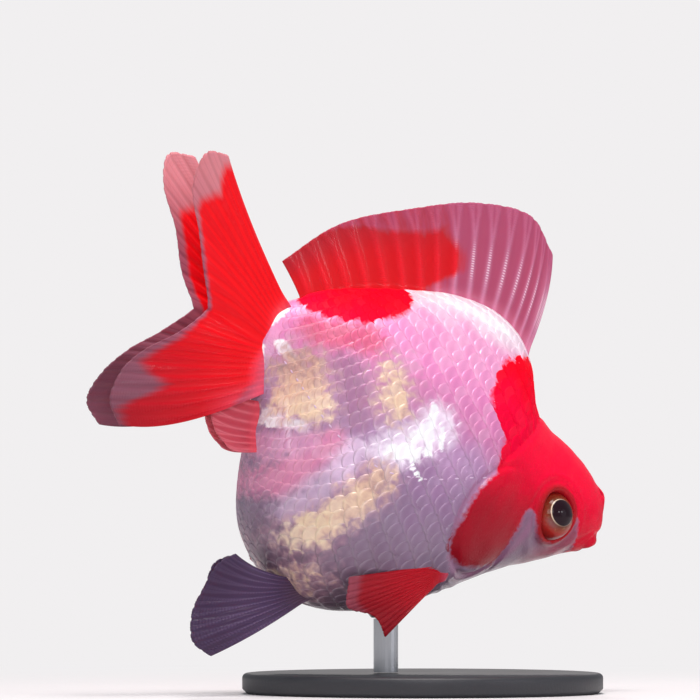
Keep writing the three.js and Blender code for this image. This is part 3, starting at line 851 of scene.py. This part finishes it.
def finPoint(fin, side, s, t):
    root, bend, margin = (curveAt(fin[k], s) for k in ("root", "bend", "margin"))
    t1 = t[..., None]
    p = root * (1 - t1) ** 2 + bend * 2 * t1 * (1 - t1) + margin * t1**2
    if side > 0 and "leftSweep" in fin:
        x0, _, z0 = fin["root"][0]
        dx, dz = turned(p[..., 0] - x0, p[..., 2] - z0, fin["leftSweep"])
        reach = fin.get("leftReach", 1)
        p[..., 0], p[..., 2] = x0 + dx * reach, z0 + dz * reach
        p[..., 1] += t * fin["leftSpread"]
    p[..., 1] += t * fin["wave"] * np.sin(3 * math.pi * s)
    p[..., 1] *= side
    return p


# The tail's two lobes as one fan: s runs down the upper lobe and on down the lower one.
def tailPoint(fin, side, s, t):
    upper = finPoint(fins["upper_tail_fin"], side, np.clip(2 * s, 0, 1), t)
    lower = finPoint(fins["lower_tail_fin"], side, np.clip(2 * s - 1, 0, 1), t)
    return upper + (lower - upper) * rise(s, 0.47, 0.53)[..., None]


# Rays fork once past the split and again further out: 1 on a ray, 0 on the membrane.
def rayShare(fin, s, t):
    x = (s * fin["rays"]) % 1 - 0.5
    first = 0.2 * rise(t, fin["split"], 1.0)
    second = 0.09 * rise(t, fin["split"] + 0.25, 1.05)
    away = np.abs(np.abs(np.abs(x) - first) - second)
    return ridge(away, 0.2 - 0.1 * t)


def makeFin(name, fin, side, material, stands, surface, marked):
    columns, rows = fin["mesh"]
    bm = bmesh.new()
    bmesh.ops.create_grid(bm, x_segments=columns, y_segments=rows, size=0.5)
    piece = addPiece(name, bm, material, stands)
    flat = readPoints(piece.data)
    s, t = flat[:, 0] + 0.5, flat[:, 1] + 0.5
    ray = rayShare(fin, s, t)
    notch = 1 - (0.004 + 0.007 * (1 - ray)) * rise(t, 0.8, 1)
    e = 2e-3
    alongS = surface(fin, side, np.minimum(s + e, 1), t) - surface(fin, side, np.maximum(s - e, 0), t)
    alongT = surface(fin, side, s, np.minimum(t + e, 1)) - surface(fin, side, s, np.maximum(t - e, 0))
    normal = unit(np.cross(alongS, alongT))
    wave = np.cos(2 * math.pi * s * fin["rays"]) * rise(t, 0.16, 0.6)
    points = surface(fin, side, s, t * notch) + normal * (finThick["pleat"] * wave)[:, None]
    movePoints(piece.data, toWorld(points))
    rayThick = finThick["rayRoot"] + (finThick["rayTip"] - finThick["rayRoot"]) * t
    thick = finThick["membrane"] + ray * rayThick * rise(t, 0.04, 0.24)
    leading = ridge(s * fin["rays"], 0.75)
    thick += 0.5 * leading * (1 - 0.6 * t)
    thick += finThick["flare"] * (1 - rise(t, 0.0, 0.16)) ** 2
    ray = np.maximum(ray, leading)
    group = piece.vertex_groups.new(name="thickness")
    most = thick.max()
    for index, share in enumerate(thick / most):
        group.add([index], share, "REPLACE")
    red, flesh = marked(side, s, t)
    addValues(piece.data, ray=ray, red=red, flesh=flesh, reach=t, spread=s * fin["rays"])
    solid = piece.modifiers.new("thickness", "SOLIDIFY")
    solid.thickness, solid.offset, solid.vertex_group = most * mm, 0, "thickness"
    print(name, "done")


# Tones of the membrane and the rays, bare and red. "deep" and "dull" are what red and bare skin turn to,
# by "outer" towards the margin and by "lower" further down, where the darkening is painted shade. "joints"
# counts the bony joints of a ray and "beads" is how strongly the painted highlights on them show.
finLook = {
    "dorsal": {
        "skin": ("#b0466a", "#d08eac"), "red": ("#d00c18", "#ec2030"), "deep": "#9e2430", "dull": "#b0466a",
        "flesh": "#ee86a6", "outer": 0.7, "lower": 0, "opacity": 0.86, "joints": 44, "beads": 0.85,
    },
    "tail": {
        "skin": ("#92465c", "#b4687c"), "red": ("#fb0414", "#e4081a"), "deep": "#ac1020", "dull": "#7c4a5a",
        "flesh": "#ec5a74", "outer": 0, "lower": 0.75, "opacity": 0.88, "joints": 50, "beads": 0,
    },
    "anal": {
        "skin": ("#ca4858", "#d8707c"), "red": ("#c02838", "#d03a48"), "deep": "#c02838", "dull": "#ca4858",
        "flesh": "#ea4a5c", "outer": 0, "lower": 0, "opacity": 0.86, "joints": 20, "beads": 0,
    },
    "pelvic": {
        "skin": ("#523e5e", "#6c5678"), "red": ("#4e3b59", "#76617f"), "deep": "#4e3b59", "dull": "#3a2a42",
        "flesh": "#584048", "outer": 0.7, "lower": 0, "opacity": 0.9, "joints": 36, "beads": 0.05,
    },
    "pectoral": {
        "skin": ("#98404e", "#a85460"), "red": ("#bc1424", "#c81c2c"), "deep": "#6a141e", "dull": "#863848",
        "flesh": "#ee86a6", "outer": 0.6, "lower": 0, "opacity": 0.86, "joints": 30, "beads": 0,
    },
}


# Fin: clear skin stretched over bony rays; light comes through the skin between them.
def finMaterial(name, look):
    material, tree = addMaterial(name)
    fish = fishSpace(tree)
    ray, reach, spread = (attribute(tree, key) for key in ("ray", "reach", "spread"))
    cloud = noise(tree, fish, 0.3, 4.0)
    across = addNode(tree, "CombineXYZ", {"X": times(tree, spread, 3.0), "Y": times(tree, reach, 2.0)})
    streak = noise(tree, across, 1.0, 3.0)
    place = addNode(tree, "SeparateXYZ", {"Vector": fish})
    outer = times(tree, step(tree, reach, 0.35, 0.95), look["outer"])
    # by "lower" the fin darkens further down: painted shade
    lower = step(tree, place.outputs["Z"], 6.0, -24.0)
    lower = times(tree, lower, look["lower"], ramp(tree, reach, 0.6, 1.4))
    marginAndLowShade = sums(tree, "MAXIMUM", outer, lower)
    bare = mix(tree, marginAndLowShade, mix(tree, times(tree, ray, 0.75), *look["skin"]), look["dull"])
    # the upper end of the tail is warmer and paler
    warm = step(tree, place.outputs["Z"], 12.0, 34.0)
    warm = times(tree, warm, step(tree, place.outputs["X"], -62.0, -76.0), 0.75)
    bare = mix(tree, warm, bare, "#e28f94")
    # painted highlights: ray joints show as rows of pale beads half way up
    beads = sums(tree, "SINE", times(tree, reach, 2 * math.pi * look["joints"]))
    middle = times(tree, step(tree, reach, 0.2, 0.34), step(tree, reach, 0.64, 0.46), look["beads"])
    beadGlints = times(tree, step(tree, beads, 0.3, 0.9), step(tree, ray, 0.6, 0.98), middle)
    bare = mix(tree, beadGlints, bare, "#fff0f6")
    red = mix(tree, times(tree, ray, 0.7), *look["red"])
    red = mix(tree, marginAndLowShade, red, look["deep"])
    isRed = step(tree, stirred(tree, attribute(tree, "red"), streak, 0.8), 0.1, 0.9)
    base = mix(tree, isRed, bare, red)
    base = mix(tree, attribute(tree, "flesh"), base, look["flesh"])
    opaque = sums(tree, "MAXIMUM", ramp(tree, ray, look["opacity"], 1.0), times(tree, isRed, 0.97))
    bump = bumpy(tree, scaled(tree, times(tree, beads, ray), 0.3, cloud), 0.3, 0.0003)
    return painted(material, {
        "Base Color": base, "Roughness": 0.42, "Normal": bump, "IOR": 1.4, "Specular IOR Level": 0.15,
        "Alpha": opaque, "Subsurface Weight": 0.15, "Subsurface Radius": (1.0, 0.3, 0.2),
        "Subsurface Scale": 0.001, "Coat Weight": 0.15, "Coat Roughness": 0.15, "Coat IOR": 1.4,
    })


# Where each fin is red, 0 to 1, and where it is pink flesh near its root. s runs across the rays and t
# along them.
def dorsalMarks(side, s, t):
    front = 0.57 - 0.13 * rise(t, 0.06, 0.34) + 0.06 * rise(t, 0.42, 0.72)
    top = 0.73 + 0.32 * rise(s, 0.6, 0.9)
    red = np.minimum((s - front) * 14, (top - t) * 4.5)
    flesh = 0.45 * (1 - rise(t, 0.02, 0.2)) * (1 - rise(s, 0.5, 0.58))
    return np.clip(0.5 + red, 0.45 * rise(s, 0.4, 0.56), 1), flesh


def tailMarks(side, s, t):
    tip = 0.05 + 0.17 * ridge(s - 0.13, 0.08)
    rear = 0.04 * rise(s, 0.14, 0.22) * (1 - rise(s, 0.86, 0.94))
    fork = 0.34 * ridge(s - 0.845, 0.065) + 0.13 * ridge(s - 0.66, 0.12)
    margin = np.maximum(np.maximum(tip, rear), fork)
    if side > 0:  # the left half has the wider clear margin
        margin = margin + 0.08 + 0.12 * rise(s, 0.46, 0.54)
    lowRoot = 0.14 * rise(s, 0.84, 1)
    red = np.minimum((1 - t - margin) * (9 - 4 * rise(s, 0.5, 0.6)), (t - 0.02 - lowRoot) * 9)
    flesh = (0.35 + 0.5 * rise(s, 0.3, 0.6)) * (1 - rise(t, 0.0, 0.12))
    flesh += 0.4 * rise(s, 0.84, 0.97) * (1 - rise(t, 0.1, 0.4))
    return np.clip(0.5 + red, 0.15 * rise(s, 0.5, 0.6), 1), np.minimum(flesh, 1)


def pectoralMarks(side, s, t):
    red = 1.25 - 1.3 * rise(t, 0.78, 1.0) * (1 - rise(s, 0.3, 0.75)) - 0.4 * rise(t, 0.9, 1.02)
    return np.clip(red, 0, 1), 0.35 * (1 - rise(t, 0, 0.12))


def clearMarks(side, s, t):
    return 0 * t, 0.7 * (1 - rise(t, 0, 0.3))


makeFin("dorsal", fins["dorsal_fin"], 1, finMaterial("mauveFinSkin", finLook["dorsal"]),
        ["dorsal_fin"], finPoint, dorsalMarks)
paired = [
    ("anal", finMaterial("roseFinSkin", finLook["anal"]), clearMarks, "clear_fin"),
    ("pelvic", finMaterial("duskyFinSkin", finLook["pelvic"]), clearMarks, "clear_fin"),
    ("pectoral", finMaterial("redBreastFinSkin", finLook["pectoral"]), pectoralMarks, "red_fin"),
]
tailSkin = finMaterial("redTailSkin", finLook["tail"])
for ending, side in (("_left", 1), ("_right", -1)):
    lobes = ["upper_tail_fin" + ending, "lower_tail_fin" + ending]
    makeFin("tail" + ending, fins["tail_fin"], side, tailSkin, lobes, tailPoint, tailMarks)
    for name, material, marked, slot in paired:
        node = name + "_fin"
        makeFin(name + ending, fins[node], side, material, [node + ending], finPoint, marked)

eyeLook = {"sunk": 0.12, "segments": (72, 56)}


# Eye: a black pupil in a red-brown iris, with a thin mirror ring that is brightest behind, under a wet
# cornea. "away" is in mm from the line of sight.
def eyeMaterial():
    material, tree = addMaterial("clearEye")
    away, rear = attribute(tree, "away"), attribute(tree, "rear")
    flecks = noise(tree, fishSpace(tree), 1.8, 4.0)
    iris = addNode(tree, "ValToRGB", {"Fac": step(tree, away, 0.0, eye["radius"], "LINEAR")}, stops=(
        (0.0, "#1c0913"), (0.54, "#240d18"), (0.57, "#5e3426"), (0.66, "#7c3824"), (0.76, "#9a3424"),
        (0.86, "#a4241e"), (1.0, "#7c1616")))
    flecks = step(tree, flecks, 0.5, 0.75)
    flecks = times(tree, step(tree, away, 3.5, 3.9), step(tree, away, 5.2, 4.6), flecks, 0.6)
    base = mix(tree, flecks, iris, "#8c6a3c")
    low = attribute(tree, "low")
    sheen = times(tree, step(tree, away, 3.3, 3.7), step(tree, away, 5.0, 4.0), low)
    base = mix(tree, sheen, base, "#8c686e")
    bright = scaled(tree, rear, 0.85, 0.1)
    ring = times(tree, step(tree, away, 3.24, 3.34), step(tree, away, 3.62, 3.44), bright)
    base = mix(tree, ring, base, "#f2dcc0")
    return painted(material, {
        "Base Color": base, "Roughness": 0.3, "IOR": 1.38, "Specular IOR Level": 0.1, "Coat Weight": 0.5,
        "Coat Roughness": 0.02, "Coat IOR": 1.36,
    })


def makeEye(name, side, material):
    bm = bmesh.new()
    across, down = eyeLook["segments"]
    bmesh.ops.create_uvsphere(bm, u_segments=across, v_segments=down, radius=1)
    piece = addPiece(name, bm, material, [name])
    ball = readPoints(piece.data)
    polar = np.arccos(np.clip(ball[:, 2], -1, 1))
    away = np.where(polar < math.pi / 2, eye["radius"] * np.sin(polar), eye["radius"])
    radius = eye["radius"] - 0.06 - eyeLook["sunk"] * rise(away, 3.2, 3.6) * (1 - rise(away, 4.6, 5.4))
    radius += 0.1 * (1 - rise(away, 0, 3.3))
    faces = Vector(eye["faces"]).normalized()
    faces.y *= side
    turn = np.array(faces.to_track_quat("Z", "Y").to_matrix())
    middle = np.array(eye["at"]) * (1, side, 1)
    placed = (ball * radius[:, None]) @ turn.T
    movePoints(piece.data, toWorld(placed + middle))
    rear = rise(-placed[:, 0], -2, 3)
    addValues(piece.data, away=away, rear=rear, low=rear * rise(-placed[:, 2], 0.8, 3.2))


eyeSkin = eyeMaterial()
makeEye("eye_left", 1, eyeSkin)
makeEye("eye_right", -1, eyeSkin)
print("eyes done")

standBase = {"radius": 43.99, "thick": 5, "edge": 1.2}


# Powder-coated steel: a fine orange-peel skin that spreads each reflection.
def powderCoat():
    material, tree = addMaterial("powderCoatedSteel")
    place = objectPlace(tree)
    peel = noise(tree, place, 1400.0, 2.0)  # lumps 0.7 mm across
    dust = noise(tree, place, 60.0, 4.0)  # 17 mm
    base = mix(tree, dust, "#2b2c30", "#34353a")
    bump = bumpy(tree, peel, 0.25, 0.0002)
    gloss = ramp(tree, dust, 0.42, 0.56)
    return painted(material, {"Base Color": base, "Roughness": gloss, "Normal": bump})


# Brushed stainless steel: lines round the rod that stretch the highlight.
def brushedSteel():
    material, tree = addMaterial("brushedStainlessSteel")
    stretched = addNode(tree, "Mapping", {"Vector": objectPlace(tree), "Scale": (60, 60, 5000)})
    lines = noise(tree, stretched, 1.0, 3.0)  # 0.2 mm apart up the rod
    gloss = ramp(tree, lines, 0.22, 0.42)
    bump = bumpy(tree, lines, 0.15, 0.0001)
    return painted(material, {
        "Base Color": "#b9bcc0", "Metallic": 1.0, "Roughness": gloss, "Normal": bump, "Anisotropic": 0.5,
    })


def spun(profile, steps=96):  # an outline of radii and heights, turned round the upright axis
    bm = bmesh.new()
    points = [bm.verts.new((r * mm, 0, z * mm)) for r, z in profile]
    edges = [bm.edges.new(pair) for pair in zip(points, points[1:])]
    bmesh.ops.spin(bm, geom=points + edges, cent=(0, 0, 0), axis=(0, 0, 1), angle=2 * math.pi,
                   steps=steps, use_merge=True)
    bmesh.ops.remove_doubles(bm, verts=bm.verts, dist=1e-6)
    bmesh.ops.recalc_face_normals(bm, faces=bm.faces)
    return bm


def makeStand():
    steel = brushedSteel()
    radius, thick, edge = (standBase[key] for key in ("radius", "thick", "edge"))
    inner, low = radius - edge, thick - edge
    arc = [math.radians(a) for a in range(0, 91, 15)]
    rim = [(inner + edge * math.cos(a), low + edge * math.sin(a)) for a in arc]
    profile = [(0, 0), (inner, 0), (radius, edge), *rim, (0, thick)]
    addPiece("stand_base", spun(profile), powderCoat(), ["stand_base"])
    for name in ("stand_rod", "stand_pad"):
        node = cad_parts[name]
        node.data.materials.clear()
        node.data.materials.append(steel)


makeStand()
print("stand done")

backdrop = "#f1eff0"


def seenShare(tree):  # 1 for what the camera sees, straight or through a clear fin
    paths = addNode(tree, "LightPath")
    return sums(tree, "MAXIMUM", paths.outputs["Is Camera Ray"], paths.outputs["Is Transmission Ray"])


def makeStudio():
    bm = bmesh.new()
    bmesh.ops.create_grid(bm, x_segments=1, y_segments=1, size=4)
    mesh = bpy.data.meshes.new("floor")
    bm.to_mesh(mesh)
    bm.free()
    floor = bpy.data.objects.new("floor", mesh)
    bpy.context.scene.collection.objects.link(floor)
    # near the stand the floor takes its shadow; further off it fades to the backdrop's own white
    material, tree = addMaterial("paleFloor")
    away = addNode(tree, "VectorMath", {0: objectPlace(tree)}, operation="LENGTH").outputs["Value"]
    paper = addNode(tree, "BsdfPrincipled", {"Base Color": "#eae8e8", "Roughness": 0.7})
    white = addNode(tree, "Emission", {"Color": backdrop, "Strength": 1.0})
    share = times(tree, seenShare(tree), step(tree, away, 0.07, 0.26))
    far = addNode(tree, "MixShader", {0: share, 1: paper, 2: white})
    addNode(tree, "OutputMaterial", {"Surface": far})
    mesh.materials.append(material)

    world = bpy.data.worlds.new("studio")
    bpy.context.scene.world = world
    world.use_nodes = True
    tree = world.node_tree
    tree.nodes.clear()
    light = addNode(tree, "Background", {"Color": "#eceef4", "Strength": 0.4})
    shown = addNode(tree, "Background", {"Color": backdrop, "Strength": 1.0})
    both = addNode(tree, "MixShader", {0: seenShare(tree), 1: light, 2: shown})
    addNode(tree, "OutputWorld", {"Surface": both})


lamps = (  # place and aim in metres, size, watts, colour
    ("overhead", (-0.05, -0.12, 0.75), (-0.01, 0, 0.07), 0.34, 3.9, "#fff9f8"),
    ("front", (-0.35, -0.80, 0.40), (-0.01, 0, 0.07), 0.40, 2.15, "#fdf8ff"),
    ("rear", (0.30, 0.60, 0.55), (-0.01, 0, 0.07), 0.16, 1.5, "#fff8f6"),
    ("low", (0.45, -0.45, 0.15), (-0.01, 0, 0.07), 0.40, 0.3, "#f6f4ff"),
    ("glintFront", (0.31, -0.46, 0.20), (-0.01, 0, 0.07), 0.05, 0.16, "#fdfaff"),
    ("glintMiddle", (0.18, -0.54, 0.22), (-0.01, 0, 0.07), 0.05, 0.18, "#fdfaff"),
    ("glintRear", (-0.60, -0.02, 0.26), (-0.03, 0, 0.09), 0.06, 0.2, "#fdfaff"),
)


def addLamps():
    for name, place, aim, size, watts, text in lamps:
        data = bpy.data.lights.new(name, "AREA")
        data.shape, data.size, data.energy = "DISK", size, watts
        data.color = colour(text)[:3]
        lamp = bpy.data.objects.new(name, data)
        lamp.location = place
        lamp.rotation_euler = (Vector(aim) - Vector(place)).to_track_quat("-Z", "Y").to_euler()
        bpy.context.scene.collection.objects.link(lamp)


view = {"turn": 26, "aim": (-19.7, 0, 83.7), "away": 3000, "wide": 170.1}  # degrees and mm


def addCamera():
    data = bpy.data.cameras.new("camera")
    data.lens = data.sensor_width * view["away"] / view["wide"]
    camera = bpy.data.objects.new("camera", data)
    turn = math.radians(view["turn"])
    aim = Vector(view["aim"]) * mm
    camera.location = aim - Vector((math.sin(turn), math.cos(turn), 0)) * view["away"] * mm
    camera.rotation_euler = (aim - camera.location).to_track_quat("-Z", "Y").to_euler()
    data.clip_start, data.clip_end = 0.01, 20
    bpy.context.scene.collection.objects.link(camera)
    bpy.context.scene.camera = camera


makeStudio()
addLamps()
addCamera()
bpy.context.scene.view_settings.view_transform = "Standard"
